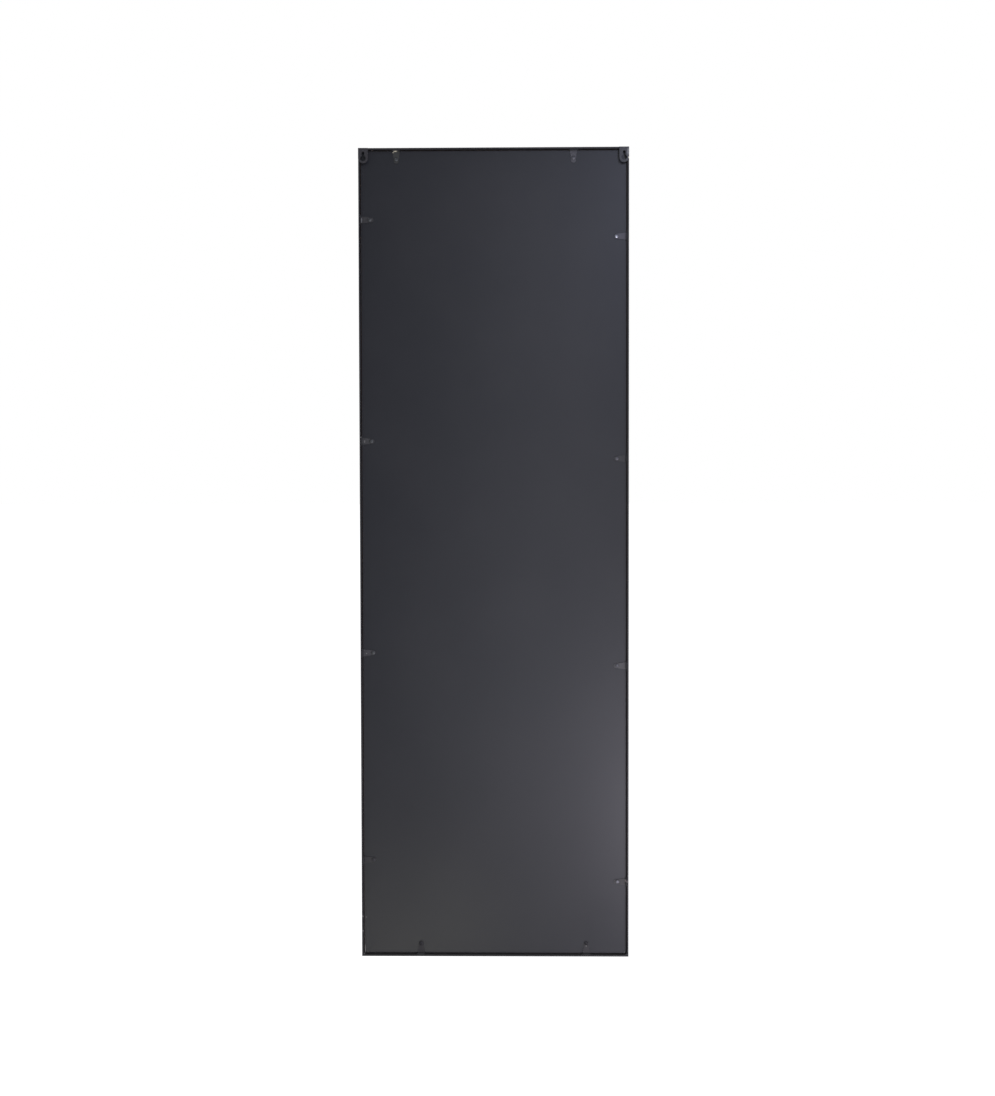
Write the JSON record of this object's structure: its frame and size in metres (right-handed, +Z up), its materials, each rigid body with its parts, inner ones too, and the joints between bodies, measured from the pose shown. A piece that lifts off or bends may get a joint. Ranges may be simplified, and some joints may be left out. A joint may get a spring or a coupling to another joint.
{
  "type": "wall mirror",
  "caption": "Tall rectangular wall mirror in a thin black steel frame, with a dark backing board held by screwed tabs and keyhole plates in the top corners.",
  "frame": {"origin": "midway between the centres of the two keyhole plates' entry holes, on the wall plane that the plates' rear faces lie on", "axes": "+Z up, +Y into the wall, so the mirror faces -Y and +X is to the right of someone looking into it"},
  "size_m": [0.498, 0.0265, 1.5],
  "materials": {
    "frame_coat": "satin",
    "tab_coat": "satin",
    "hanger_coat": "satin",
    "weld_coat": "satin",
    "screw_finish": "satin",
    "mirror_glass": "polished",
    "silver": "polished",
    "backing_paint": "matte",
    "board_face": "satin",
    "foam_tape": "matte"
  },
  "bodies": {
    "root": {"bottom_rail": "frame_coat", "right_stile": "frame_coat", "top_rail": "frame_coat", "left_stile": "frame_coat", "bottom_tab_1": "tab_coat", "bottom_tab_2": "tab_coat", "right_tab_1": "tab_coat", "right_tab_2": "tab_coat", "right_tab_3": "tab_coat", "right_tab_4": "tab_coat", "top_tab_1": "tab_coat", "top_tab_2": "tab_coat", "left_tab_1": "tab_coat", "left_tab_2": "tab_coat", "left_tab_3": "tab_coat", "left_tab_4": "tab_coat", "bottom_screw_1": "screw_finish", "bottom_screw_2": "screw_finish", "right_screw_1": "screw_finish", "right_screw_2": "screw_finish", "right_screw_3": "screw_finish", "right_screw_4": "screw_finish", "top_screw_1": "screw_finish", "top_screw_2": "screw_finish", "left_screw_1": "screw_finish", "left_screw_2": "screw_finish", "left_screw_3": "screw_finish", "left_screw_4": "screw_finish", "bottom_tab_welds": "weld_coat", "right_tab_welds": "weld_coat", "top_tab_welds": "weld_coat", "left_tab_welds": "weld_coat", "corner_weld_bottom_right": "weld_coat", "corner_weld_top_right": "weld_coat", "corner_weld_top_left": "weld_coat", "corner_weld_bottom_left": "weld_coat", "left_hanger_welds": "weld_coat", "right_hanger_welds": "weld_coat", "left_hanger": "hanger_coat", "right_hanger": "hanger_coat", "mirror_glass": "mirror_glass", "silver_coat": "silver", "backing_paint": "backing_paint", "backing_board": "board_face", "foam_tape_1": "foam_tape", "foam_tape_2": "foam_tape", "foam_tape_3": "foam_tape", "foam_tape_4": "foam_tape"}
  },
  "joints": []
}
